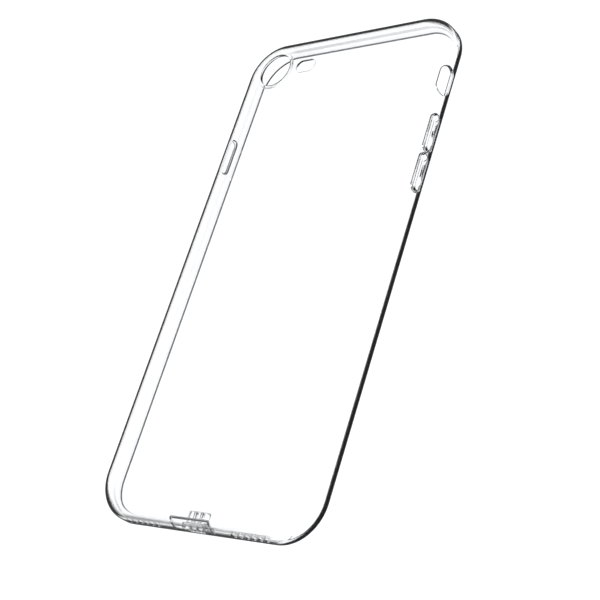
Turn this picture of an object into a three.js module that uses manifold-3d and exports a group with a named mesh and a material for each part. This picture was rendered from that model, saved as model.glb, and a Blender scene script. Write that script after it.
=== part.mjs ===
// A clear, flexible moulded case for a slim phone. Millimetres, +Z up.
// The case lies face down: +Z points out of its back, +Y to the camera end and +X to the volume side.
// The origin is in the middle of the flat that the front lip rests on.
import * as THREE from "three";
import { mergeVertices } from "three/addons/utils/BufferGeometryUtils.js";
import Module from "manifold-3d";

const wasm = await Module();
wasm.setup();

// The phone that the case is moulded for
const phoneLength = 138.3;
const phoneWidth = 67.1;
const phoneThickness = 7.1;
const phoneCornerRadius = 10;
const glassProud = 0.5; // height of the glass above the front lip

// The shell
const phoneGap = 0.1;
const wallThickness = 0.9;
const backThickness = 0.6;
const backEdgeRadius = 4.1;
const frontEdgeRadius = 1.2;
const lipThickness = 0.9;
const lipOverhang = 0.9;
const lipTipRadius = 0.3;

// Camera hole, its guard ring and the flash slot, placed from the phone's own edges
const cameraFromSide = 10.65;
const cameraFromTop = 9.55;
const cameraRadius = 5.05;
const guardWidth = 1;
const guardHeight = 0.4;
const guardBevel = 0.25;
const flashFromCamera = 10.7;
const flashLength = 6.5;
const flashHeight = 3.7;

// Mute switch cut-out in the volume side
const muteFromTop = 19.1;
const muteLength = 8.2;
const muteHeight = 4.3;
const muteRise = 0.45; // above the middle of the phone's thickness

// Press pads, their flexible webs and their sunk marks
const padLength = 10;
const padHeight = 2.4;
const padProud = 0.5;
const padRecess = 0.5; // depth of the pad's inner face under the wall's outer face
const padBevel = 0.2;
const volumeUpFromTop = 34.15;
const volumePitch = 11.2;
const sideButtonFromTop = 34.15;
const webWidth = 0.4;
const webTop = 0.2; // depth of the web's outer face under the wall's outer face
const markLength = 1.3;
const markWidth = 0.3;
const markDepth = 0.12;

// Sound holes in the port end
const holeCount = 6;
const holeRadius = 0.75;
const holePitch = 2;
const holeFromMiddle = 12.6;
const holeRise = 0.25;

// Dust flap over the charging port
const flapWidth = 12;
const slitWidth = 0.4;
const hingeAngle = 50; // degrees up the back edge's round, from its widest point
const hingeSpan = 6; // degrees of the round that the thin hinge web bridges
const hingeThickness = 0.35;
const plugSeatLength = 8.2;
const plugSeatHeight = 2.8;
const plugSeatDepth = 0.6;
const plugLength = 6.6;
const plugHeight = 1.4;
const plugReach = 3;
const ribCount = 3;
const ribWidth = 0.7;
const ribPitch = 2.1;
const ribProud = 0.12;

// Fineness of the round stretches
const cornerSteps = 10;
const sectionSteps = 4;
const roundSteps = 8;
const far = 400;

// Overall sizes that follow
const rim = phoneGap + wallThickness;
const halfLength = phoneLength / 2 + rim;
const halfWidth = phoneWidth / 2 + rim;
const cornerRadius = phoneCornerRadius + rim;
const height = backThickness + phoneThickness - glassProud;
const middleZ = height - backThickness - phoneThickness / 2;
const roundZ = height - backEdgeRadius;
const railHalfX = halfWidth - cornerRadius;
const railHalfY = halfLength - cornerRadius;

// ---- solids from closed geometries ----

function solid(geometry) {
  const bare = geometry.clone();
  bare.deleteAttribute("normal");
  bare.deleteAttribute("uv");
  const merged = mergeVertices(bare, 1e-4);
  return new wasm.Manifold(
    new wasm.Mesh({
      numProp: 3,
      vertProperties: merged.getAttribute("position").array,
      triVerts: new Uint32Array(merged.index.array),
    }),
  );
}

function geometryOf(made) {
  const mesh = made.getMesh();
  const indexed = new THREE.BufferGeometry();
  indexed.setAttribute("position", new THREE.BufferAttribute(mesh.vertProperties, 3));
  indexed.setIndex(new THREE.BufferAttribute(mesh.triVerts, 1));
  const flat = indexed.toNonIndexed();
  flat.computeVertexNormals();
  return flat;
}

function box(low, high) {
  const size = high.map((value, axis) => value - low[axis]);
  const geometry = new THREE.BoxGeometry(...size);
  geometry.translate(...low.map((value, axis) => value + size[axis] / 2));
  return solid(geometry);
}

// A shape drawn flat, pushed out along +Z from z = from to z = to.
function plate(shape, from, to, steps = roundSteps) {
  const options = { depth: to - from, bevelEnabled: false, curveSegments: steps };
  const geometry = new THREE.ExtrudeGeometry(shape, options);
  geometry.translate(0, 0, from);
  return solid(geometry);
}

// Turns a shape's solid so that its x, y and z become the part's Y, Z and X.
function facingX(geometry) {
  return geometry.rotateX(Math.PI / 2).rotateZ(Math.PI / 2);
}

function pill(length, width) {
  const radius = width / 2;
  const reach = length / 2 - radius;
  const shape = new THREE.Shape();
  shape.absarc(reach, 0, radius, -Math.PI / 2, Math.PI / 2, false);
  shape.absarc(-reach, 0, radius, Math.PI / 2, (3 * Math.PI) / 2, false);
  return shape;
}

function roundedRectangle(halfX, halfY, radius) {
  const shape = new THREE.Shape();
  const right = halfX - radius;
  const top = halfY - radius;
  shape.absarc(right, -top, radius, -Math.PI / 2, 0, false);
  shape.absarc(right, top, radius, 0, Math.PI / 2, false);
  shape.absarc(-right, top, radius, Math.PI / 2, Math.PI, false);
  shape.absarc(-right, -top, radius, Math.PI, (3 * Math.PI) / 2, false);
  return shape;
}

// ---- sections, drawn with x out from the corner's axis and y up ----

// The wall between two depths under its outer face, from the lip up and round to the flat back.
function wallSection(outside, inside, backInside) {
  const roundX = cornerRadius - backEdgeRadius;
  const frontZ = frontEdgeRadius;
  const frontReach = frontEdgeRadius - outside;
  const startAngle = Math.asin((lipThickness - frontZ) / frontReach);
  const shape = new THREE.Shape();
  shape.absarc(cornerRadius - frontEdgeRadius, frontZ, frontReach, startAngle, 0, false);
  shape.absarc(roundX, roundZ, backEdgeRadius - outside, 0, Math.PI / 2, false);
  shape.absellipse(
    roundX,
    roundZ,
    backEdgeRadius - inside,
    backEdgeRadius - backInside,
    Math.PI / 2,
    0,
    true,
  );
  shape.lineTo(cornerRadius - inside, lipThickness);
  return shape;
}

// The lip: the rounded front edge of the wall and the flange that holds the phone in.
function lipSection() {
  const tip = cornerRadius - wallThickness - lipOverhang;
  const startAngle = Math.asin((lipThickness - frontEdgeRadius) / frontEdgeRadius);
  const shape = new THREE.Shape();
  shape.moveTo(tip, lipThickness);
  shape.absarc(tip + lipTipRadius, lipTipRadius, lipTipRadius, Math.PI, (3 * Math.PI) / 2, false);
  shape.absarc(
    cornerRadius - frontEdgeRadius,
    frontEdgeRadius,
    frontEdgeRadius,
    -Math.PI / 2,
    startAngle,
    false,
  );
  return shape;
}

// ---- stretches of the rim that carry a section ----

// A straight stretch on the +X side, turned about +Z by quarter turns: 0 right, 1 top, 2 left, 3 bottom.
function rail(section, quarter) {
  const alongY = quarter % 2 === 0;
  const depth = 2 * (alongY ? railHalfY : railHalfX);
  const options = { depth, bevelEnabled: false, curveSegments: sectionSteps };
  const geometry = new THREE.ExtrudeGeometry(section, options);
  geometry.rotateX(Math.PI / 2);
  geometry.translate(alongY ? railHalfX : railHalfY, depth / 2, 0);
  geometry.rotateZ((quarter * Math.PI) / 2);
  return solid(geometry);
}

// A quarter of the section's turn about the corner's axis.
function corner(section, signX, signY) {
  const profile = section.getPoints(sectionSteps);
  profile.push(profile[0].clone());
  const geometry = new THREE.LatheGeometry(profile, 4 * cornerSteps);
  geometry.rotateX(Math.PI / 2);
  const x = signX * railHalfX;
  const y = signY * railHalfY;
  geometry.translate(x, y, 0);
  const low = [Math.min(x, x + signX * far), Math.min(y, y + signY * far), -far];
  const high = [Math.max(x, x + signX * far), Math.max(y, y + signY * far), far];
  return solid(geometry).intersect(box(low, high));
}

function wholeRing(section) {
  let ring = rail(section, 0);
  for (const quarter of [1, 2, 3]) ring = ring.add(rail(section, quarter));
  for (const signX of [1, -1]) {
    for (const signY of [1, -1]) ring = ring.add(corner(section, signX, signY));
  }
  return ring;
}

// ---- cutters and pieces through the side walls ----

// A pill-shaped bar through the wall on the side that signX names, between two distances from the middle.
function sideBar(length, width, y, z, signX, from, to) {
  const options = { depth: to - from, bevelEnabled: false, curveSegments: roundSteps };
  const geometry = facingX(new THREE.ExtrudeGeometry(pill(length, width), options));
  geometry.translate(signX > 0 ? from : -to, y, z);
  return solid(geometry);
}

// The press pad: a straight-sided pill with a bevelled outer edge and a sunk mark of one or two bars.
function pressPad(y, signX, markTurns) {
  const outer = halfWidth + padProud;
  const inner = halfWidth - padRecess;
  const options = {
    depth: outer - inner - padBevel,
    bevelEnabled: true,
    bevelThickness: padBevel,
    bevelSize: padBevel,
    bevelOffset: -padBevel,
    bevelSegments: 3,
    curveSegments: roundSteps,
  };
  const geometry = facingX(new THREE.ExtrudeGeometry(pill(padLength, padHeight), options));
  geometry.translate(inner, 0, 0);
  let pad = solid(geometry).intersect(box([inner, -far, -far], [far, far, far]));
  for (const turn of markTurns) {
    const mark = new THREE.BoxGeometry(2 * markDepth, markLength, markWidth);
    mark.rotateX((turn * Math.PI) / 2);
    mark.translate(outer, 0, 0);
    pad = pad.subtract(solid(mark));
  }
  if (signX < 0) pad = pad.mirror([1, 0, 0]);
  return pad.translate([0, y, middleZ]);
}

// The region under the plane that cuts the back edge's round at an angle, as a bar along X.
function underRound(angle, halfSpan) {
  const turn = THREE.MathUtils.degToRad(angle);
  const pivotX = cornerRadius - backEdgeRadius;
  const reach = 3 * backEdgeRadius;
  const shape = new THREE.Shape();
  shape.moveTo(pivotX, roundZ);
  shape.lineTo(pivotX, -reach);
  shape.lineTo(pivotX + reach, -reach);
  shape.lineTo(pivotX + reach * Math.cos(turn), roundZ + reach * Math.sin(turn));
  const options = { depth: 2 * halfSpan, bevelEnabled: false };
  const geometry = new THREE.ExtrudeGeometry(shape, options);
  geometry.rotateX(Math.PI / 2);
  geometry.translate(railHalfY, halfSpan, 0);
  geometry.rotateZ(-Math.PI / 2);
  return solid(geometry);
}

function soundHoles() {
  const holes = [];
  for (const side of [-1, 1]) {
    for (let k = 0; k < holeCount; k += 1) {
      const geometry = new THREE.CylinderGeometry(holeRadius, holeRadius, 4 * wallThickness, 16);
      const x = side * (holeFromMiddle + k * holePitch);
      geometry.translate(x, -halfLength + wallThickness / 2, middleZ + holeRise);
      holes.push(solid(geometry));
    }
  }
  return holes;
}

// ---- the case ----

const cameraX = -phoneWidth / 2 + cameraFromSide;
const cameraY = phoneLength / 2 - cameraFromTop;
const padY = {
  volumeUp: phoneLength / 2 - volumeUpFromTop,
  volumeDown: phoneLength / 2 - volumeUpFromTop - volumePitch,
  side: phoneLength / 2 - sideButtonFromTop,
};
const fullWall = wallSection(0, wallThickness, backThickness);
const webWall = wallSection(webTop, padRecess, padRecess);
const part = new THREE.Group();

function addPiece(name, made, colour, opacity = 0.35) {
  const material = new THREE.MeshStandardMaterial({
    color: colour,
    roughness: 0.08,
    metalness: 0,
    transparent: true,
    opacity,
  });
  const mesh = new THREE.Mesh(geometryOf(made), material);
  mesh.name = name;
  part.add(mesh);
}

function backPanel() {
  const inset = backEdgeRadius;
  const shape = roundedRectangle(halfWidth - inset, halfLength - inset, cornerRadius - inset);
  const panel = plate(shape, height - backThickness, height, cornerSteps / 2);
  const cutDepth = [height - 2 * backThickness, height + backThickness];
  const hole = new THREE.Shape();
  hole.absarc(0, 0, cameraRadius, 0, 2 * Math.PI, false);
  const cameraCut = plate(hole, ...cutDepth, 3 * roundSteps).translate([cameraX, cameraY, 0]);
  const slot = plate(pill(flashLength, flashHeight), ...cutDepth);
  const flashCut = slot.translate([cameraX + flashFromCamera, cameraY, 0]);
  return panel.subtract(cameraCut).subtract(flashCut);
}

function guardRing() {
  const outer = cameraRadius + guardWidth;
  const top = height + guardHeight;
  const profile = [
    new THREE.Vector2(cameraRadius, height),
    new THREE.Vector2(outer, height),
    new THREE.Vector2(outer - guardBevel, top),
    new THREE.Vector2(cameraRadius, top),
    new THREE.Vector2(cameraRadius, height),
  ];
  const geometry = new THREE.LatheGeometry(profile, 6 * roundSteps);
  geometry.rotateX(Math.PI / 2);
  geometry.translate(cameraX, cameraY, 0);
  return solid(geometry);
}

// The window in the wall that a press pad and its web fill.
function padWindow(y, signX) {
  const length = padLength + 2 * webWidth;
  const width = padHeight + 2 * webWidth;
  return sideBar(length, width, y, middleZ, signX, halfWidth - far / 10, halfWidth + far / 10);
}

function padWeb(y, signX) {
  const across = [halfWidth - far / 10, halfWidth + far / 10];
  const padHole = sideBar(padLength, padHeight, y, middleZ, signX, ...across);
  const wall = rail(webWall, signX > 0 ? 0 : 2);
  return wall.intersect(padWindow(y, signX)).subtract(padHole);
}

function volumeSideWall() {
  const across = [halfWidth - far / 10, halfWidth + far / 10];
  const muteY = phoneLength / 2 - muteFromTop;
  const mute = sideBar(muteLength, muteHeight, muteY, middleZ + muteRise, 1, ...across);
  const upWindow = padWindow(padY.volumeUp, 1);
  const downWindow = padWindow(padY.volumeDown, 1);
  return rail(fullWall, 0).subtract(mute).subtract(upWindow).subtract(downWindow);
}

function portEndWall() {
  const flapWindow = underRound(hingeAngle + hingeSpan, flapWidth / 2 + slitWidth);
  let wall = rail(fullWall, 3).subtract(flapWindow);
  for (const hole of soundHoles()) wall = wall.subtract(hole);
  return wall;
}

function dustFlap() {
  const freeEdge = box([-far, -far, lipThickness + slitWidth], [far, far, far]);
  const tongue = rail(fullWall, 3).intersect(underRound(hingeAngle, flapWidth / 2));
  return tongue.intersect(freeEdge);
}

function hingeWeb() {
  const skin = rail(wallSection(0, hingeThickness, hingeThickness), 3);
  const strip = skin.intersect(underRound(hingeAngle + hingeSpan, flapWidth / 2));
  return strip.subtract(underRound(hingeAngle, flapWidth));
}

// A seat on the flap's inner face and a ribbed tongue that fills the charging port.
function dustPlug() {
  const innerFace = -halfLength + wallThickness;
  const bar = (length, width, reach) => {
    const options = { depth: reach, bevelEnabled: false, curveSegments: roundSteps };
    const geometry = new THREE.ExtrudeGeometry(pill(length, width), options);
    geometry.rotateX(Math.PI / 2);
    geometry.translate(0, innerFace + reach, middleZ);
    return solid(geometry);
  };
  let plug = bar(plugSeatLength, plugSeatHeight, plugSeatDepth).add(
    bar(plugLength, plugHeight, plugSeatDepth + plugReach),
  );
  for (let k = 0; k < ribCount; k += 1) {
    const x = (k - (ribCount - 1) / 2) * ribPitch;
    const halfHeight = plugHeight / 2 + ribProud;
    const low = [x - ribWidth / 2, innerFace + plugSeatDepth / 2, middleZ - halfHeight];
    const high = [x + ribWidth / 2, innerFace + plugReach, middleZ + halfHeight];
    plug = plug.add(box(low, high));
  }
  return plug.subtract(rail(fullWall, 3));
}

addPiece("back_panel", backPanel(), 0xe8eef2, 0.25);
addPiece("camera_guard_ring", guardRing(), 0xdfe6ea);
addPiece("front_lip", wholeRing(lipSection()), 0xd3dadf);
addPiece("volume_side_wall", volumeSideWall(), 0xdde4e8);
addPiece("camera_end_wall", rail(fullWall, 1), 0xdde4e8);
addPiece("button_side_wall", rail(fullWall, 2).subtract(padWindow(padY.side, -1)), 0xdde4e8);
addPiece("port_end_wall", portEndWall(), 0xdde4e8);
addPiece("corner_top_right", corner(fullWall, 1, 1), 0xd8e0e5);
addPiece("corner_top_left", corner(fullWall, -1, 1), 0xd8e0e5);
addPiece("corner_bottom_left", corner(fullWall, -1, -1), 0xd8e0e5);
addPiece("corner_bottom_right", corner(fullWall, 1, -1), 0xd8e0e5);
addPiece("volume_up_web", padWeb(padY.volumeUp, 1), 0xcfd8de);
addPiece("volume_down_web", padWeb(padY.volumeDown, 1), 0xcfd8de);
addPiece("side_button_web", padWeb(padY.side, -1), 0xcfd8de);
addPiece("volume_up_pad", pressPad(padY.volumeUp, 1, [0, 1]), 0xe3e9ec);
addPiece("volume_down_pad", pressPad(padY.volumeDown, 1, [0]), 0xe3e9ec);
addPiece("side_button_pad", pressPad(padY.side, -1, []), 0xe3e9ec);
addPiece("flap_hinge_web", hingeWeb(), 0xcfd8de);
addPiece("dust_flap", dustFlap(), 0xdde4e8);
addPiece("dust_plug", dustPlug(), 0xcfd8de);

export default part;
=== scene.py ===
from math import acos, asin, cos, degrees, pi, radians, sin

import bmesh
import bpy
from mathutils import Matrix, Vector


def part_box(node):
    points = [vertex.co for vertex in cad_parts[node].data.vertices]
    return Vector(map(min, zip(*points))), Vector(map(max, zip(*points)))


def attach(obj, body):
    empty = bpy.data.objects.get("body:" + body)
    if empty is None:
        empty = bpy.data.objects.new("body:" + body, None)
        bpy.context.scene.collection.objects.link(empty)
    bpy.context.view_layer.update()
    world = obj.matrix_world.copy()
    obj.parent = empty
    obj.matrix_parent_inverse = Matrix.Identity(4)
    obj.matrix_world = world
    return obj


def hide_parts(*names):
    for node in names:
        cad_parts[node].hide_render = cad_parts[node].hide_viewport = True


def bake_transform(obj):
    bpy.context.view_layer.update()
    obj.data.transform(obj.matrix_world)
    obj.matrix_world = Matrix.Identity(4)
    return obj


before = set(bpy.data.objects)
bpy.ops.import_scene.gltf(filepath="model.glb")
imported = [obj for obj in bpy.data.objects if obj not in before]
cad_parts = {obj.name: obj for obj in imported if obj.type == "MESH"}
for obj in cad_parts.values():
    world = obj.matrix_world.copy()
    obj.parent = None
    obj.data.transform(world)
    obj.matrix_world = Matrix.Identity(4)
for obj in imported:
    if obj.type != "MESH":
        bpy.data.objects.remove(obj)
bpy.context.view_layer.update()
millimetre = 0.001  # pieces are drawn in millimetres and shrunk when they are done
weld = 0.0008  # points nearer than this become one

# The case lies face down: Z points out of its back, Y to the camera end, X to the volume side.


view = {
    "place": (214.04, -120.14, 211.83),  # millimetres
    "right": (0.75505, 0.28759, -0.58923),
    "up": (0.01531, 0.89069, 0.45435),
    "focal": 1282.81,  # in the same units as the image's width
    "imageWidth": 600,
    "sensor": 36,
    "clip": (0.01, 50),
}


def makeCamera():
    right, up = Vector(view["right"]).normalized(), Vector(view["up"]).normalized()
    back = right.cross(up).normalized()
    data = bpy.data.cameras.new("studioCamera")
    data.sensor_width = view["sensor"]
    data.lens = data.sensor_width * view["focal"] / view["imageWidth"]
    data.clip_start, data.clip_end = view["clip"]
    camera = bpy.data.objects.new("studioCamera", data)
    turn = Matrix((right, back.cross(right), back)).transposed().to_4x4()
    camera.matrix_world = Matrix.Translation(Vector(view["place"]) * millimetre) @ turn
    bpy.context.scene.collection.objects.link(camera)
    bpy.context.scene.camera = camera


makeCamera()
print("camera placed")


# A value in a node tree that can be added, multiplied and so on in plain expressions.
class Value:
    def __init__(self, tree, socket):
        self.tree, self.socket = tree, socket

    def node(self, kind, settings=None, inputs=None, output=0):
        return addNode(self.tree, kind, settings, inputs, output)

    def maths(self, operation, first, second):
        return self.node("ShaderNodeMath", {"operation": operation}, {0: first, 1: second})

    def __add__(self, other): return self.maths("ADD", self, other)
    def __radd__(self, other): return self.maths("ADD", other, self)
    def __sub__(self, other): return self.maths("SUBTRACT", self, other)
    def __rsub__(self, other): return self.maths("SUBTRACT", other, self)
    def __mul__(self, other): return self.maths("MULTIPLY", self, other)
    def __rmul__(self, other): return self.maths("MULTIPLY", other, self)
    def larger(self, other): return self.maths("MAXIMUM", self, other)


def addNode(tree, kind, settings=None, inputs=None, output=0):
    node = tree.nodes.new(kind)
    for name, value in (settings or {}).items():
        if name == "stops":
            ramp = node.color_ramp
            while len(ramp.elements) < len(value):
                ramp.elements.new(0.5)
            for element, (position, colour) in zip(ramp.elements, value):
                element.position, element.color = position, colour
        else:
            setattr(node, name, value)
    for name, value in (inputs or {}).items():
        if isinstance(value, Value):
            tree.links.new(value.socket, node.inputs[name])
        else:
            node.inputs[name].default_value = value
    return Value(tree, node.outputs[output])


def emptyMaterial(name):
    material = bpy.data.materials.new(name)
    material.use_nodes = True
    material.node_tree.nodes.clear()
    return material, material.node_tree


def smoothly(value, span):
    return addNode(value.tree, "ShaderNodeMapRange", {"interpolation_type": "SMOOTHSTEP"},
                   {"Value": value, "From Min": span[0], "From Max": span[1]})


# Painted shade: where rounds, walls, the front edge and hole walls turn away from the view, a near-black shader
# is mixed in, and fixed painted dark lines run along hole edges towards the back. This stands in for the dark
# lines that refraction draws in clear plastic. Edges look dark, flats stay clear.
def paintedEdgeShade(tree, place, look):
    def meshValue(name):
        return addNode(tree, "ShaderNodeAttribute", {"attribute_name": name}, output="Fac")
    facing = addNode(tree, "ShaderNodeLayerWeight", None, {"Blend": 0.5}, "Facing")
    normal = addNode(tree, "ShaderNodeTexCoord", output="Normal")
    slope = addNode(tree, "ShaderNodeSeparateXYZ", None, {0: normal}, "Z")
    slope = slope * slope  # 0 on a wall, 1 on the flat back
    height = addNode(tree, "ShaderNodeSeparateXYZ", None, {0: place}, "Z")
    skin = meshValue("outerSkin")
    unlevel = 1 - smoothly(slope, look["levelSlope"])
    rounded = smoothly(slope, look["roundSlope"]) * smoothly(facing, look["roundFacing"])
    upright = smoothly(facing, look["wallFacing"])
    front = (1 - smoothly(height, look["frontBand"])) * skin * (1 - smoothly(slope, look["frontSlope"]))
    paintedShade = (rounded.larger(upright) * unlevel * skin).larger(front * smoothly(facing, look["frontFacing"]))
    holes = meshValue("openingRim") * smoothly(facing, look["rimFacing"])
    return paintedShade.larger(holes).larger(meshValue("rimLine"))


# Water-clear moulded polyurethane: moulding ripples, handling smears and hairline scratches.
def clearPlastic(name, look):
    material, tree = emptyMaterial(name)
    place = addNode(tree, "ShaderNodeTexCoord", output="Object")
    ripple = addNode(tree, "ShaderNodeTexNoise", None,
                     {"Vector": place, "Scale": look["rippleScale"], "Detail": 2.0}, "Fac")
    grain = addNode(tree, "ShaderNodeTexNoise", None,
                    {"Vector": place, "Scale": look["grainScale"], "Detail": 3.0}, "Fac")
    smear = addNode(tree, "ShaderNodeTexNoise", None,
                    {"Vector": place, "Scale": look["smearScale"], "Detail": 5.0,
                     "Roughness": look["smearBreakup"], "Distortion": look["smearSwirl"]}, "Fac")
    smearMask = smoothly(smear, look["smearRange"])
    stretched = addNode(tree, "ShaderNodeMapping", None,
                        {"Vector": place, "Rotation": look["hairTurn"], "Scale": look["hairStretch"]})
    hairs = addNode(tree, "ShaderNodeTexNoise", None,
                    {"Vector": stretched, "Scale": 1.0, "Detail": 1.0}, "Fac")
    hairMask = smoothly(hairs, look["hairRange"])
    roughness = look["roughness"] + smearMask * look["smear"] + hairMask * look["hair"]
    relief = ripple * look["ripple"] + grain * look["grain"] - hairMask * look["hairDepth"]
    bump = addNode(tree, "ShaderNodeBump", None,
                   {"Height": relief, "Distance": millimetre, "Strength": 1.0}, "Normal")
    body = addNode(tree, "ShaderNodeMix", {"data_type": "RGBA"},
                   {0: smearMask, 6: look["colour"], 7: look["smearColour"]}, 2)
    plastic = addNode(tree, "ShaderNodeBsdfPrincipled", None,
                      {"Base Color": body, "Roughness": roughness, "Normal": bump,
                       "IOR": look["ior"], "Transmission Weight": 1.0})
    # Painted shade: a near-black shader that the painted shade mask mixes into the plastic
    paintedShadeSurface = addNode(tree, "ShaderNodeBsdfPrincipled", None,
                   {"Base Color": look["edgeColour"], "Roughness": look["edgeRoughness"],
                    "Specular IOR Level": look["edgeGloss"]})
    paintedShade = paintedEdgeShade(tree, place, look)
    withPaintedShade = addNode(tree, "ShaderNodeMixShader", None, {0: paintedShade, 1: plastic, 2: paintedShadeSurface})
    passing = addNode(tree, "ShaderNodeBsdfTransparent", None, {"Color": look["shadow"]})
    # Light on its way from the lamps or back off the floor passes straight through
    for kind in ("Is Diffuse Ray", "Is Shadow Ray"):
        onItsWay = addNode(tree, "ShaderNodeLightPath", output=kind)
        withPaintedShade = addNode(tree, "ShaderNodeMixShader", None, {0: onItsWay, 1: withPaintedShade, 2: passing})
    tree.links.new(withPaintedShade.socket, tree.nodes.new("ShaderNodeOutputMaterial").inputs["Surface"])
    return material


clearLook = {
    "colour": (0.980, 0.986, 0.992, 1.0),
    "smearColour": (0.96, 0.967, 0.975, 1.0),
    "shadow": (0.975, 0.98, 0.985, 1.0),
    # Painted shade: the near-black shader mixed in at edges, with its roughness and gloss
    "edgeColour": (0.004, 0.004, 0.005, 1.0),
    "edgeRoughness": 0.6,
    "edgeGloss": 0.1,
    # Each facing span runs from clear to painted dark shade as a surface turns away from the view
    "roundFacing": (0.40, 0.60),
    "frontFacing": (0.08, 0.31),
    "rimFacing": (0.36, 0.46),
    "wallFacing": (0.66, 0.80),
    "levelSlope": (0.90, 0.985),
    "roundSlope": (0.06, 0.30),
    "frontSlope": (0.3, 0.6),
    "frontBand": (1.9 * millimetre, 2.4 * millimetre),  # heights between which the painted dark line along the front edge ends
    "roughness": 0.012,
    "smear": 0.02,
    "hair": 0.03,
    "ior": 1.5,
    "rippleScale": 85.0,
    "ripple": 0.02,
    "grainScale": 900.0,
    "grain": 0.0006,
    "smearScale": 42.0,
    "smearBreakup": 0.65,
    "smearSwirl": 1.2,
    "smearRange": (0.48, 0.68),
    "hairTurn": (0.2, 0.1, radians(32)),
    "hairStretch": (2600.0, 60.0, 500.0),
    "hairRange": (0.70, 0.78),
    "hairDepth": 0.0008,
}
shellPlastic = clearPlastic("clearShellPlastic", clearLook)
padPlastic = clearPlastic("clearPadPlastic", clearLook | {"grainScale": 1400.0, "grain": 0.0012})
flapPlastic = clearPlastic("clearFlapPlastic", clearLook | {"grainScale": 1200.0, "grain": 0.0010})
print("plastics ready")


def linkPiece(bm, name, material):
    bmesh.ops.remove_doubles(bm, verts=bm.verts, dist=weld)
    bmesh.ops.delete(bm, geom=[edge for edge in bm.edges if edge.is_wire], context="EDGES")
    bmesh.ops.recalc_face_normals(bm, faces=bm.faces)
    bmesh.ops.scale(bm, vec=(millimetre,) * 3, verts=bm.verts)
    if not bm.verts.layers.float.get("outerSkin"):
        skin = bm.verts.layers.float.new("outerSkin")
        for vert in bm.verts:
            vert[skin] = 1
    for face in bm.faces:
        face.smooth = True
    mesh = bpy.data.meshes.new(name)
    loose = sum(1 for edge in bm.edges if not edge.is_manifold)
    bm.to_mesh(mesh)
    bm.free()
    mesh.materials.append(material)
    piece = bpy.data.objects.new(name, mesh)
    bpy.context.scene.collection.objects.link(piece)
    print(f"{name}: {len(mesh.polygons)} faces, {loose} open edges")
    return piece


# The moulded section and the way round the rim, in millimetres
shell = {
    "wall": 0.9,
    "back": 0.6,
    "cornerRadius": 11.0,
    "backRound": 4.1,
    "frontRound": 1.2,
    "lipReach": 1.8,  # from the outer face to the lip's inner edge
    "lipThickness": 0.9,
    "lipTipRadius": 0.3,
    "lipTopRadius": 0.2,
    "innerFillet": 0.3,
    "support": 0.1,  # narrow strip that keeps a flat flat beside a round
    "tipSteps": 4,
    "frontSteps": 8,
    "backSteps": 20,
    "cornerSteps": 18,
}
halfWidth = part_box("corner_top_right")[1].x / millimetre
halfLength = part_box("corner_top_right")[1].y / millimetre
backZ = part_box("back_panel")[1].z / millimetre
roundZ = backZ - shell["backRound"]
railX = halfWidth - shell["cornerRadius"]
railY = halfLength - shell["cornerRadius"]
quarter = shell["cornerRadius"] * pi / 2


def arc(centre, radii, start, end, steps):
    turns = [radians(start + (end - start) * k / steps) for k in range(steps + 1)]
    return [(centre[0] + radii[0] * cos(a), centre[1] + radii[1] * sin(a)) for a in turns]


# Points of the section as (depth under the outer face, height), from the lip's tip to the flat back.
def sectionChains():
    s = shell
    tipMiddle = [(s["lipReach"], s["lipThickness"] / 2)]
    outer = tipMiddle + arc((s["lipReach"] - s["lipTipRadius"], s["lipTipRadius"]),
                            (s["lipTipRadius"],) * 2, 0, -90, s["tipSteps"])
    outer += arc((s["frontRound"],) * 2, (s["frontRound"],) * 2, -90, -180, s["frontSteps"])
    outer += [(0, s["frontRound"] + s["support"]), (0, roundZ - s["support"])]
    outer += arc((s["backRound"], roundZ), (s["backRound"],) * 2, 180, 90, s["backSteps"])
    outer += [(s["backRound"] + s["support"], backZ)]
    inner = tipMiddle + arc((s["lipReach"] - s["lipTopRadius"], s["lipThickness"] - s["lipTopRadius"]),
                            (s["lipTopRadius"],) * 2, 0, 90, s["tipSteps"])
    fillet = s["innerFillet"]
    inner += arc((s["wall"] + fillet, s["lipThickness"] + fillet), (fillet,) * 2, -90, -180, s["frontSteps"])
    inner += [(s["wall"], s["frontRound"] + s["support"]), (s["wall"], roundZ - s["support"])]
    inner += arc((s["backRound"], roundZ), (s["backRound"] - s["wall"], s["backRound"] - s["back"]),
                 180, 90, s["backSteps"])
    inner += [(s["backRound"] + s["support"], backZ - s["back"])]
    return outer, inner


outerChain, innerChain = sectionChains()
stations = [0.0]
for first, second in zip(outerChain, outerChain[1:]):
    stations.append(stations[-1] + (Vector(second) - Vector(first)).length)
frontStart = 1 + shell["tipSteps"] + 1
frontEnd = frontStart + shell["frontSteps"]
backStart = frontEnd + 3
backEnd = backStart + shell["backSteps"]


# Where a height on the side lies along the section. radius is the back's round, on the outer or the inner skin.
def stationAtHeight(z, radius=shell["backRound"]):
    if z < shell["frontRound"]:
        share = degrees(acos(1 - z / shell["frontRound"])) / 90
        return stations[frontStart] + share * (stations[frontEnd] - stations[frontStart])
    if z <= roundZ:
        return stations[frontEnd] + z - shell["frontRound"]
    share = degrees(asin((z - roundZ) / radius)) / 90
    return stations[backStart] + share * (stations[backEnd] - stations[backStart])


def stationAtAngle(angle):
    return stations[backStart] + angle / 90 * (stations[backEnd] - stations[backStart])


def sectionAt(s, share):
    k = max(i for i in range(len(stations) - 1) if stations[i] <= s + 1e-6)
    part = (s - stations[k]) / (stations[k + 1] - stations[k])
    outer = Vector(outerChain[k]).lerp(Vector(outerChain[k + 1]), part)
    inner = Vector(innerChain[k]).lerp(Vector(innerChain[k + 1]), part)
    return outer.lerp(inner, share)


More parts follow.
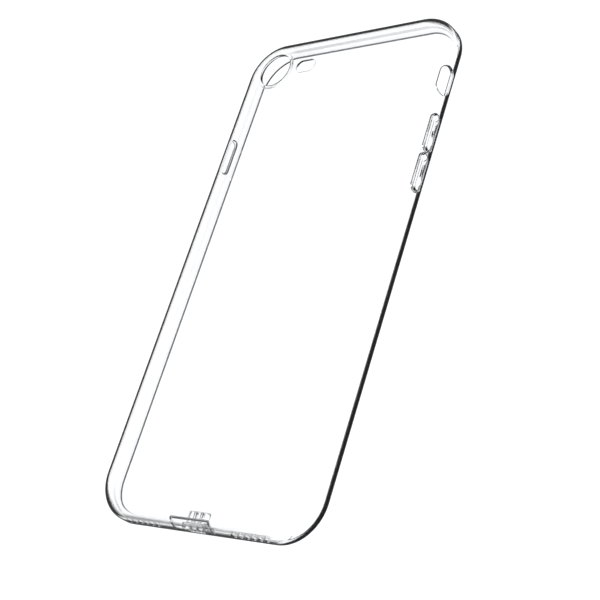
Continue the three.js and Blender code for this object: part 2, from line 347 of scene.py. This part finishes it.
# Stretches of the rim, from the middle of the camera end round by the left side: length, start, direction.
rimRuns = [
    ("rail", railX, Vector((0, railY, 0)), Vector((-1, 0, 0))),
    ("corner", quarter, Vector((-railX, railY, 0)), 90),
    ("rail", 2 * railY, Vector((-railX, railY, 0)), Vector((0, -1, 0))),
    ("corner", quarter, Vector((-railX, -railY, 0)), 180),
    ("rail", 2 * railX, Vector((-railX, -railY, 0)), Vector((1, 0, 0))),
    ("corner", quarter, Vector((railX, -railY, 0)), 270),
    ("rail", 2 * railY, Vector((railX, -railY, 0)), Vector((0, 1, 0))),
    ("corner", quarter, Vector((railX, railY, 0)), 0),
    ("rail", railX, Vector((railX, railY, 0)), Vector((-1, 0, 0))),
]
runStarts = [sum(run[1] for run in rimRuns[:k]) for k in range(len(rimRuns) + 1)]
rimLength = runStarts[-1]
sideStarts = {
    "left": lambda y: runStarts[2] + railY - y,
    "port": lambda x: runStarts[4] + x + railX,
    "right": lambda y: runStarts[6] + y + railY,
}


# Turns a point drawn flat, as (way round, way along the section, depth), into its place on the rim.
def bendPoint(point):
    t, s, depth = point
    k = max(i for i in range(len(rimRuns)) if runStarts[i] <= t + 1e-6)
    kind, length, start, heading = rimRuns[k]
    along = t - runStarts[k]
    if kind == "rail":
        outward = heading.cross(Vector((0, 0, 1)))
        outward = -outward if outward.dot(start) < 0 else outward
        base = start + heading * along
    else:
        turn = radians(heading + 90 * along / length)
        outward, base = Vector((cos(turn), sin(turn), 0)), start
    u, z = sectionAt(s, depth / shell["wall"])
    place = base + outward * (shell["cornerRadius"] - u)
    return Vector((place.x, place.y, z))


# A rounded rectangle: centre and half sizes in two directions, a radius for low and for high corners.
def outline(centre, half, lowRadius, highRadius=None, count=32):
    high = lowRadius if highRadius is None else highRadius
    return {"centre": centre, "half": half, "radii": (lowRadius, high), "count": count}


# Each vertex of a loop keeps its share of the way to a corner's centre, and its own outward direction.
def spotOn(shape, spot, grow):
    acrossShare, upShare, way = spot
    radius = shape["radii"][1 if upShare > 0 else 0]
    return (shape["centre"][0] + acrossShare * (shape["half"][0] - radius) + way.x * (radius + grow),
            shape["centre"][1] + upShare * (shape["half"][1] - radius) + way.y * (radius + grow))


def setLoop(spots, shape, grow, level, place):
    for vert, spot in spots.items():
        x, y = spotOn(shape, spot, grow)
        vert.co = place(x, y, level) if place else Vector((x, y, level))


def drawLoop(bm, shape, grow, level, place=None):
    made = bmesh.ops.create_circle(bm, cap_ends=False, segments=shape["count"], radius=1,
                                   matrix=Matrix.Rotation(pi / shape["count"], 4, "Z"))
    spots = {vert: (1 if vert.co.x > 0 else -1, 1 if vert.co.y > 0 else -1, vert.co.copy())
             for vert in made["verts"]}
    setLoop(spots, shape, grow, level, place)
    return list({edge for vert in made["verts"] for edge in vert.link_edges}), spots


# Pushes a loop on through further steps, each a shape, how far it is grown and its level.
def pushLoop(bm, edges, spots, steps, place=None):
    for shape, grow, level in steps:
        made = bmesh.ops.extrude_edge_only(bm, edges=edges)
        verts = {item for item in made["geom"] if isinstance(item, bmesh.types.BMVert)}
        spots = {vert: next(spots[edge.other_vert(vert)] for edge in vert.link_edges
                            if edge.other_vert(vert) in spots) for vert in verts}
        edges = [item for item in made["geom"] if isinstance(item, bmesh.types.BMEdge)
                 and all(vert in verts for vert in item.verts)]
        setLoop(spots, shape, grow, level, place)
    return edges


def drawSkin(bm, shape, steps, place=None):
    first, spots = drawLoop(bm, shape, *steps[0], place)
    last = pushLoop(bm, first, spots, [(shape, *step) for step in steps[1:]], place)
    return first, last


def fillFlat(bm, edges):
    bmesh.ops.triangle_fill(bm, edges=edges, use_beauty=True, use_dissolve=False)


# Steps through the wall with both edges rounded: sign 1 for a hole, -1 for a plate's own edge.
def roundedEdge(radius, depth, sign=1, strip=0.08, steps=4):
    turns = [radians(90 * k / steps) for k in range(steps + 1)]
    top = [(sign * radius * (1 - sin(a)), radius * (1 - cos(a))) for a in turns]
    upper = [(sign * (radius + strip), 0)] + top
    return upper + [(grow, depth - level) for grow, level in reversed(upper)]


flatCut = {"plane": 1e-4, "level": 1e-5, "line": 1e-3, "straight": 0.99999}  # how near counts as on it


# Cuts faces along the section's and the corners' lines, then takes out what the cuts leave in plain cells.
def cutFlat(bm, sLines, tLines, sheetLevels):
    def cut(place, normal):
        bmesh.ops.bisect_plane(bm, geom=bm.verts[:] + bm.edges[:] + bm.faces[:], dist=flatCut["plane"],
                               plane_co=place, plane_no=normal)
    for s in sLines:
        cut((0, s, 0), (0, 1, 0))
    for t in tLines:
        cut((t, 0, 0), (1, 0, 0))

    def inSheet(face):
        return any(all(abs(vert.co.z - level) < flatCut["level"] for vert in face.verts)
                   for level in sheetLevels)

    sheetFaces = {face for face in bm.faces if inSheet(face)}
    rimVerts = {vert for face in bm.faces if face not in sheetFaces for vert in face.verts}
    plain = {face for face in sheetFaces if not any(vert in rimVerts for vert in face.verts)}

    def onLine(edge):
        first, second = (vert.co for vert in edge.verts)
        near, onIt = flatCut["plane"], flatCut["line"]
        sameS = abs(first.y - second.y) < near and any(abs(first.y - s) < onIt for s in sLines)
        sameT = abs(first.x - second.x) < near and any(abs(first.x - t) < onIt for t in tLines)
        return sameS or sameT

    spare = [edge for edge in bm.edges if len(edge.link_faces) == 2
             and all(face in plain for face in edge.link_faces) and not onLine(edge)]
    bmesh.ops.dissolve_edges(bm, edges=spare, use_verts=False)

    def straight(vert):
        if len(vert.link_edges) != 2:
            return False
        first, second = (edge.other_vert(vert).co - vert.co for edge in vert.link_edges)
        return first.normalized().dot(second.normalized()) < -flatCut["straight"]
    bmesh.ops.dissolve_verts(bm, verts=[vert for vert in bm.verts if straight(vert)])


def sideShape(side, middle, height, halfAlong, halfHigh, radius, count=32):
    shape = outline((middle, height), (halfAlong, halfHigh), radius, count=count)
    return shape, lambda x, z, level: Vector((sideStarts[side](x), stationAtHeight(z), level))


def middleOf(node):
    low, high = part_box(node)
    return (low + high) / 2 / millimetre, (high - low) / 2 / millimetre


# What is cut into the shell
openings = {
    "muteMiddle": 50.05,
    "muteHeight": 3.5,
    "muteHalf": (4.1, 2.15),
    "webWidth": 0.4,
    "rimRadius": 0.15,
    "rimStrip": 0.02,  # depth at which a hole's own wall begins
    "fence": 0.4,  # sheet left plain beside a hole
    "soundHeight": 3.3,
    "soundRadius": 0.75,
    "soundRim": 0.08,
    "soundFromMiddle": 12.6,
    "soundPitch": 2.0,
    "soundCount": 6,
    "soundFence": (1.0, 0.92),  # before the first and after the last hole
    "soundStrip": 0.05,
    "slit": 0.4,
    "slitEnd": 0.8,  # the round at a slit's end, as a share of its width
    "flapHalf": 6.0,
    "hingeLow": 50,  # degrees up the back's round
    "hingeHigh": 56,
    "flapFreeEdge": 1.3,
    "flapRim": 0.07,
    "flapCorner": 0.7,
    "flapShoulder": 0.12,
    "mutePaintedLine": 0.85,  # how dark the painted line along the mute cut-out's edge is towards the back
    # how dark the painted line along the volume pads' openings is towards the back
    "padPaintedLine": 0.5,
    "paintedLineStart": 0.3,  # the painted line's strength half way up a hole, as a share
    "sideShade": 0.15,  # how much painted shade the wall of the side button's hole gets
}
ring = {
    "hole": 5.05,
    "outer": 6.05,
    "height": 0.4,
    "topRadius": 0.16,
    "footRadius": 0.1,
    "innerRadius": 0.15,
    "taper": 0.14,
    "topMargin": 0.2,
    "strip": 0.05,
    "innerStrip": 0.08,
    "footEnd": -165,
    "shoulderStart": 15,
    # painted shade on the camera hole's own wall
    "shade": 0.85,
    "count": 96,
}
flash = {"fromCamera": 10.7, "half": (3.25, 1.85), "rim": 0.15}


def buildShell():
    bm = bmesh.new()
    o, r, wall = openings, ring, shell["wall"]
    outerEdges, innerEdges, fences = [], [], []
    # Per-point masks: the outer skin, painted shade on hole walls and a painted dark line along hole edges
    skin, rim, paintedLineLayer = (bm.verts.layers.float.new(name) for name in ("outerSkin", "openingRim", "rimLine"))

    # shade and line: how much painted shade the hole's wall gets, and how dark the painted line along the edge
    # towards the back is
    def openWall(shape, place, rimRadius, fence=True, strip=0.08, shade=1.0, line=0.0):
        old = set(bm.verts)
        outer, inner = drawSkin(bm, shape, roundedEdge(rimRadius, wall, strip=strip), place)
        middle, reach = shape["centre"][1], shape["half"][1]
        low, high = (place(0, z, 0).y if place else z for z in (middle, middle + reach))
        for vert in bm.verts:
            if vert not in old and vert.co.z < wall / 2:
                vert[rim] = shade if vert.co.z > o["rimStrip"] else 0
                vert[paintedLineLayer] = line * min(1, max(0, o["paintedLineStart"] + (vert.co.y - low) / (high - low)))
        for vert in {vert for edge in outer for vert in edge.verts}:
            vert[paintedLineLayer] = 0
        outerEdges.extend(outer)
        innerEdges.extend(inner)
        if fence:
            xs = [vert.co.x for edge in outer for vert in edge.verts]
            fences.extend((min(xs) - o["fence"], max(xs) + o["fence"]))

    openWall(*sideShape("right", o["muteMiddle"], o["muteHeight"], *o["muteHalf"], o["muteHalf"][1], 48),
             o["rimRadius"], line=o["mutePaintedLine"])
    for node, side in (("volume_up_pad", "right"), ("volume_down_pad", "right"), ("side_button_pad", "left")):
        middle, half = middleOf(node)
        high = half.z + o["webWidth"]
        openWall(*sideShape(side, middle.y, middle.z, half.y + o["webWidth"], high, high, 40), o["rimRadius"],
                 **({"line": o["padPaintedLine"]} if side == "right" else {"shade": o["sideShade"]}))
    for sign in (-1, 1):
        for k in range(o["soundCount"]):
            x = sign * (o["soundFromMiddle"] + k * o["soundPitch"])
            openWall(*sideShape("port", x, o["soundHeight"], *(o["soundRadius"],) * 3, 24), o["soundRim"],
                     fence=False, strip=o["soundStrip"])
        near = o["soundFromMiddle"] - o["soundFence"][0]
        far = o["soundFromMiddle"] + (o["soundCount"] - 1) * o["soundPitch"] + o["soundFence"][1]
        fences.extend(sideStarts["port"](sign * x) for x in (near, far))
    low, high = stationAtHeight(shell["lipThickness"]), stationAtAngle(o["hingeHigh"])
    window = outline((sideStarts["port"](0), (low + high) / 2),
                     (o["flapHalf"] + o["slit"], (high - low) / 2),
                     o["flapCorner"] + o["slit"], o["slit"] * o["slitEnd"], 48)
    openWall(window, None, o["flapRim"])

    for level, edges in ((0, outerEdges), (wall, innerEdges)):
        made = bmesh.ops.create_grid(bm, x_segments=1, y_segments=1, size=0.5)
        bmesh.ops.scale(bm, vec=(rimLength, stations[-1], 1), verts=made["verts"])
        bmesh.ops.translate(bm, vec=(rimLength / 2, stations[-1] / 2, level), verts=made["verts"])
        border = list({edge for vert in made["verts"] for edge in vert.link_edges})
        sheet = made["verts"][0].link_faces[0]
        bmesh.ops.delete(bm, geom=[sheet], context="FACES_ONLY")
        fillFlat(bm, border + edges)

    tLines = list(fences)
    turns = shell["cornerSteps"]
    for k, (kind, length, _, _) in enumerate(rimRuns):
        if kind == "corner":
            tLines += [runStarts[k] + length * j / turns for j in range(turns + 1)]
            tLines += [runStarts[k] - shell["support"], runStarts[k + 1] + shell["support"]]
    cutFlat(bm, stations[1:-1], tLines, (0, wall))
    for vert in bm.verts:
        vert[skin] = 1 - vert.co.z / wall
        vert.co = bendPoint(vert.co)
    bmesh.ops.remove_doubles(bm, verts=bm.verts, dist=weld)

    # The flat back between the rim, the camera ring and the flash slot
    middle, _ = middleOf("camera_guard_ring")
    borders = [edge for edge in bm.edges if edge.is_boundary]
    outerBack = [edge for edge in borders if edge.verts[0].co.z > backZ - 0.1]
    innerBack = [edge for edge in borders if edge.verts[0].co.z <= backZ - 0.1]
    topZ, innerZ = backZ + r["height"], backZ - shell["back"]
    hole, outer, top, foot, low = r["hole"], r["outer"], r["topRadius"], r["footRadius"], r["innerRadius"]
    profile = [(outer + r["strip"], backZ)]
    profile += arc((outer, backZ + foot), (foot, foot), -90, r["footEnd"], 4)
    profile += arc((outer - r["taper"] - top, topZ - top), (top, top), r["shoulderStart"], 90, 5)
    profile += [(outer - r["topMargin"] - top, topZ), (hole + top + r["strip"], topZ)]
    profile += arc((hole + top, topZ - top), (top, top), 90, 180, 5)
    profile += arc((hole + low, innerZ + low), (low, low), 180, 270, 5)
    profile += [(hole + low + r["innerStrip"], innerZ)]
    circle = outline((middle.x, middle.y), (0, 0), 0, count=r["count"])
    first, last = drawSkin(bm, circle, profile)
    for vert in bm.verts:
        if (vert.co.xy - middle.xy).length < hole + 0.01 and vert.co.z < topZ - 0.1:  # the hole's own wall, which gets painted shade
            vert[rim] = r["shade"]
    outerBack += first
    innerBack += last
    slot = outline((middle.x + flash["fromCamera"], middle.y), flash["half"], flash["half"][1], count=40)
    steps = [(grow, backZ - depth) for grow, depth in roundedEdge(flash["rim"], shell["back"])]
    first, last = drawSkin(bm, slot, steps)
    fillFlat(bm, outerBack + first)
    fillFlat(bm, innerBack + last)
    return linkPiece(bm, "case_shell", shellPlastic)


caseShell = buildShell()
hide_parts(*[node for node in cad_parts
                         if node in ("back_panel", "camera_guard_ring", "front_lip", "volume_side_wall",
                                     "camera_end_wall", "button_side_wall", "port_end_wall", "corner_top_right",
                                     "corner_top_left", "corner_bottom_left", "corner_bottom_right")])
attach(caseShell, "case")
print("shell moulded")


# Press pads with their webs
pad = {
    "proud": 0.5,
    "edgeRadius": 0.2,
    "clearance": 0.02,
    "webTop": (0.60, 0.30),  # depth under the wall's face at the web's outer edge and at the pad
    "webBottom": (0.72, 0.42),
    "foot": ((0.12, -0.06), (0.03, 0.02), (0, 0.1)),  # round from web to pad: growth, height over the web
    "topStrip": 0.06,
    "bottomStrip": 0.1,
    "blendLength": 0.06,
    "markLength": 1.3,
    "markWidth": 0.3,
    "markDepth": 0.05,
}


# A sunk cross or bar: a grid whose corner cells are taken out, pushed down into the pad's face.
def sunkMark(bm, middle, level, arms):
    half, thin = pad["markLength"] / 2, pad["markWidth"] / 2
    made = bmesh.ops.create_grid(bm, x_segments=3, y_segments=3 if arms == 2 else 1, size=1.5)
    for vert in made["verts"]:
        across = half if abs(vert.co.x) > 1 else thin
        up = thin if arms == 1 else (half if abs(vert.co.y) > 1 else thin)
        vert.co = Vector((middle[0] + across * (1 if vert.co.x > 0 else -1),
                          middle[1] + up * (1 if vert.co.y > 0 else -1), level))
    faces = list({face for vert in made["verts"] for face in vert.link_faces})
    if arms == 2:
        corners = [face for face in faces
                   if all(abs(face.calc_center_median()[k] - middle[k]) > thin for k in range(2))]
        bmesh.ops.delete(bm, geom=corners, context="FACES")
        faces = [face for face in faces if face.is_valid]
    ends = [edge.verts[:] for edge in {edge for face in faces for edge in face.edges if edge.is_boundary}]
    made = bmesh.ops.extrude_face_region(bm, geom=faces, use_keep_orig=False)
    sunk = [item for item in made["geom"] if isinstance(item, bmesh.types.BMVert)]
    bmesh.ops.translate(bm, vec=(0, 0, -pad["markDepth"]), verts=sunk)
    bmesh.ops.delete(bm, geom=[face for face in faces if face.is_valid], context="FACES_ONLY")
    return [bm.edges.get(pair) for pair in ends if bm.edges.get(pair)]


def buildPad(name, node, web, sign, arms):
    bm = bmesh.new()
    middle, half = middleOf(node)
    p, webWidth = pad, openings["webWidth"] - pad["clearance"]
    shape = outline((0, 0), (half.y, half.z), half.z, count=40)
    e, (edgeTop, padTop), (edgeBottom, padBottom) = p["edgeRadius"], p["webTop"], p["webBottom"]
    steps = [(webWidth, -edgeTop)] + [(grow, rise - padTop) for grow, rise in p["foot"]]
    steps += [(grow - e, out) for grow, out in arc((0, p["proud"] - e), (e, e), 0, 90, 5)]
    steps += [(-e - p["topStrip"], p["proud"])]
    topEdge = drawSkin(bm, shape, steps)[1]
    steps = [(webWidth, -edgeTop), (webWidth, -edgeBottom), (0, -padBottom), (-p["bottomStrip"], -padBottom)]
    lowEdge = drawSkin(bm, shape, steps)[1]
    marks = sunkMark(bm, (0, 0), p["proud"], arms) if arms else []
    fillFlat(bm, topEdge + marks)
    fillFlat(bm, lowEdge)
    for vert in bm.verts:
        along, up, out = vert.co
        vert.co = Vector((sign * (halfWidth + out), middle.y + along, middle.z + up))
    piece = linkPiece(bm, name, padPlastic)
    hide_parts(node, web)
    place = [Vector((sign * (halfWidth - depth), middle.y, middle.z)) * millimetre
             for depth in (edgeBottom - p["blendLength"], padBottom)]
    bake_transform(piece)


buildPad("volume_up_button", "volume_up_pad", "volume_up_web", 1, 2)
buildPad("volume_down_button", "volume_down_pad", "volume_down_web", 1, 1)
buildPad("side_button", "side_button_pad", "side_button_web", -1, 0)
print("pads pressed in")


# The dust flap with its plug
flap = {
    "hingeThickness": 0.5,  # share of the wall that the hinge keeps
    "ramp": 0.35,
    "seatHalf": (4.1, 1.4),
    "seatDepth": 0.6,
    "tongueHalf": (3.3, 0.7),
    "reach": 3.6,
    "ribPitch": 2.1,
    "ribHalf": 0.35,
    "ribProud": 0.12,
    "ribCount": 3,
    "ribEnds": (0.2, 0.35),  # from the tongue's root and from its tip
    "fillet": 0.12,
    "edgeStrip": 0.04,
    "hingeGap": 0.01,
    "blendLean": 20,  # degrees
    "blendLength": 0.42,
    "gripHeight": 2.9,
    "gripHalf": (3.1, 0.95),
    "gripDepth": 0.3,
    "gripRim": ((0.14, 0), (0.06, 0), (0.02, 0.04), (0, 0.1)),  # growth and depth
    "gripEase": 0.05,
    "gripRibCount": 4,
    "gripRibPitch": 1.3,
    "gripRibHalf": (0.26, 0.6),
    "gripRibHeight": 0.2,
    "gripRibFoot": 0.03,
}


# A shallow pill-shaped well in the flap's outer face with grip ribs standing in it.
def sinkGrip(bm):
    f = flap
    middle = (sideStarts["port"](0), stationAtHeight(f["gripHeight"]))
    deep, high, ease, toe = f["gripDepth"], f["gripDepth"] - f["gripRibHeight"], f["gripEase"], f["gripRibFoot"]
    well = outline(middle, f["gripHalf"], f["gripHalf"][1], count=40)
    rim, floorEdges = drawSkin(bm, well, [*f["gripRim"], (0, deep - ease), (-ease, deep)])
    for k in range(f["gripRibCount"]):
        across = (k - (f["gripRibCount"] - 1) / 2) * f["gripRibPitch"]
        rib = outline((middle[0] + across, middle[1]), f["gripRibHalf"], f["gripRibHalf"][0], count=16)
        foot, top = drawSkin(bm, rib, [(toe, deep), (0, deep - toe), (0, high + ease), (-ease, high)])
        floorEdges += foot
        fillFlat(bm, top)
    fillFlat(bm, floorEdges)
    return rim


def buildFlap():
    bm = bmesh.new()
    o, f, wall = openings, flap, shell["wall"]
    middle, _ = middleOf("dust_plug")
    low, high = stationAtHeight(o["flapFreeEdge"]), stationAtAngle(o["hingeHigh"])
    hinge = stationAtAngle(o["hingeLow"])
    shape = outline((sideStarts["port"](0), (low + high) / 2),
                    (o["flapHalf"], (high - low) / 2 - f["hingeGap"]), o["flapCorner"], o["flapShoulder"], 48)
    outerEdge, innerEdge = drawSkin(bm, shape, roundedEdge(o["flapRim"], wall, -1, strip=f["edgeStrip"]))

    def onInnerFace(x, z, level):
        return Vector((sideStarts["port"](x), stationAtHeight(z, shell["backRound"] - shell["back"]), level))
    seat = outline((0, middle.z), f["seatHalf"], f["seatHalf"][1], count=48)
    foot, _ = drawLoop(bm, seat, f["fillet"], wall, onInnerFace)
    fillFlat(bm, outerEdge + sinkGrip(bm))
    fillFlat(bm, innerEdge + foot)
    sLines = [s for s in stations if low < s < high] + [hinge - f["ramp"], hinge]
    cutFlat(bm, sorted(sLines), [], (0, wall))
    for vert in bm.verts:
        share = min(1, max(0, (vert.co.y - hinge + f["ramp"]) / f["ramp"]))
        vert.co.z *= 1 - share * (1 - f["hingeThickness"])
        vert.co = bendPoint(vert.co)
    footEdges = [edge for edge in bm.edges if edge.is_boundary]
    reach = f["seatHalf"][0] - f["seatHalf"][1]
    spots = {}
    for vert in {vert for edge in footEdges for vert in edge.verts}:
        across, up = vert.co.x, vert.co.z - middle.z
        share = max(-1, min(1, across / reach))
        way = Vector((across - share * reach, up, 0)).normalized()
        spots[vert] = (share, 1 if up > 0 else -1, way)

    def inPort(x, z, depth):
        return Vector((x, -halfLength + depth, z))
    tongue = outline((0, middle.z), f["tongueHalf"], f["tongueHalf"][1])
    inner, tip, e = wall + f["seatDepth"], wall + f["reach"], f["fillet"]
    steps = [(seat, e * 0.3, wall + e * 0.7), (seat, 0, wall + 1.5 * e)]
    steps += [(seat, -e + e * cos(radians(a)), inner - e + e * sin(radians(a))) for a in (0, 30, 60, 90)]
    steps += [(tongue, e, inner), (tongue, 0.3 * e, inner + 0.3 * e), (tongue, 0, inner + e)]
    steps += [(tongue, 0, tip - 2 * e), (tongue, -0.5 * e, tip - 0.8 * e), (tongue, -2 * e, tip)]
    fillFlat(bm, pushLoop(bm, footEdges, spots, steps, inPort))
    root, end = f["ribEnds"]
    addRibs(bm, middle.z, -halfLength + inner + root, -halfLength + wall + f["reach"] - end)
    piece = linkPiece(bm, "dust_flap_and_plug", flapPlastic)
    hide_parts("dust_flap", "flap_hinge_web", "dust_plug")
    # The way a bend would take leans inward, so that the whole plug lies past its end; it is worked out here
    # but not used.
    turn, lean = radians((o["hingeLow"] + o["hingeHigh"]) / 2), radians(f["blendLean"])
    start, radius = radians(o["hingeLow"]), shell["backRound"]
    end = Vector((0, -(halfLength - radius + radius * cos(start)), roundZ + radius * sin(start)))
    tangent, inward = Vector((0, -sin(turn), -cos(turn))), Vector((0, cos(turn), -sin(turn)))
    way = tangent * cos(lean) + inward * sin(lean)
    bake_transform(piece)


# Raises ribs from both flat sides of the plug's tongue.
def addRibs(bm, middleZ, lowY, highY):
    f = flap
    xs = [(k - (f["ribCount"] - 1) / 2) * f["ribPitch"] for k in range(f["ribCount"])]
    tongue = [face for face in bm.faces
              if abs(abs(face.calc_center_median().z - middleZ) - f["tongueHalf"][1]) < 0.02
              and face.calc_center_median().y > lowY - 0.5 and abs(face.normal.z) > 0.9]
    planes = [((x + side * f["ribHalf"], 0, 0), (1, 0, 0)) for x in xs for side in (-1, 1)]
    planes += [((0, lowY, 0), (0, 1, 0)), ((0, highY, 0), (0, 1, 0))]
    for place, normal in planes:
        geometry = tongue + [edge for face in tongue for edge in face.edges]
        geometry += [vert for face in tongue for vert in face.verts]
        made = bmesh.ops.bisect_plane(bm, geom=list(set(geometry)), dist=flatCut["plane"],
                                      plane_co=place, plane_no=normal)
        tongue = [item for item in made["geom"] if isinstance(item, bmesh.types.BMFace)]
    for x in xs:
        for side in (-1, 1):
            faces = [face for face in tongue if face.is_valid
                     and abs(face.calc_center_median().x - x) < f["ribHalf"]
                     and lowY < face.calc_center_median().y < highY
                     and (face.calc_center_median().z - middleZ) * side > 0]
            made = bmesh.ops.extrude_face_region(bm, geom=faces)
            raised = [item for item in made["geom"] if isinstance(item, bmesh.types.BMVert)]
            bmesh.ops.delete(bm, geom=[face for face in faces if face.is_valid], context="FACES_ONLY")
            bmesh.ops.translate(bm, vec=(0, 0, side * f["ribProud"]), verts=raised)


buildFlap()
print("flap hinged")


studio = {
    "paper": ((0.90, 0.90, 0.90, 1.0), (0.93, 0.93, 0.93, 1.0)),
    "cloudScale": 9.0,
    "paperRoughness": 0.9,
    "paperGloss": 0.1,
    "floorSize": 6,
    "air": 0.3 * millimetre,  # a sliver of air under the lip
    "skyStops": ((0.0, (0.95, 0.95, 0.95, 1)), (0.18, (0.95, 0.95, 0.95, 1)), (0.34, (0.70, 0.70, 0.705, 1))),
    "sunStrength": 1.8,
    "sunTurn": (12, -8, 0),
    "sunAngle": 35,
}


def makeFloor():
    material, tree = emptyMaterial("paleFloor")
    place = addNode(tree, "ShaderNodeTexCoord", output="Object")
    cloud = addNode(tree, "ShaderNodeTexNoise", None,
                    {"Vector": place, "Scale": studio["cloudScale"], "Detail": 3.0}, "Fac")
    colour = addNode(tree, "ShaderNodeMix", {"data_type": "RGBA"},
                     {0: cloud, 6: studio["paper"][0], 7: studio["paper"][1]}, 2)
    paper = addNode(tree, "ShaderNodeBsdfPrincipled", None,
                    {"Base Color": colour, "Roughness": studio["paperRoughness"],
                     "Specular IOR Level": studio["paperGloss"]})
    tree.links.new(paper.socket, tree.nodes.new("ShaderNodeOutputMaterial").inputs["Surface"])
    bm = bmesh.new()
    bmesh.ops.create_grid(bm, x_segments=8, y_segments=8, size=studio["floorSize"])
    bmesh.ops.translate(bm, vec=(0, 0, -studio["air"]), verts=bm.verts)
    mesh = bpy.data.meshes.new("floor")
    bm.to_mesh(mesh)
    bm.free()
    mesh.materials.append(material)
    floor = bpy.data.objects.new("floor", mesh)
    bpy.context.scene.collection.objects.link(floor)


def makeSun():
    data = bpy.data.lights.new("overheadLight", "SUN")
    data.energy, data.angle = studio["sunStrength"], radians(studio["sunAngle"])
    light = bpy.data.objects.new("overheadLight", data)
    light.rotation_euler = [radians(angle) for angle in studio["sunTurn"]]
    bpy.context.scene.collection.objects.link(light)


# White near the horizon and a pale grey overhead.
def makeWorld():
    world = bpy.data.worlds.new("studio")
    bpy.context.scene.world = world
    world.use_nodes = True
    tree = world.node_tree
    tree.nodes.clear()
    way = addNode(tree, "ShaderNodeTexCoord", output="Generated")
    height = addNode(tree, "ShaderNodeSeparateXYZ", None, {0: way}, "Z")
    ramp = addNode(tree, "ShaderNodeValToRGB", {"stops": studio["skyStops"]}, {0: height})
    glow = addNode(tree, "ShaderNodeBackground", None, {0: ramp, 1: 1.0})
    tree.links.new(glow.socket, tree.nodes.new("ShaderNodeOutputWorld").inputs["Surface"])


makeFloor()
makeWorld()
makeSun()
bpy.context.scene.view_settings.view_transform = "Standard"
print("studio lit")
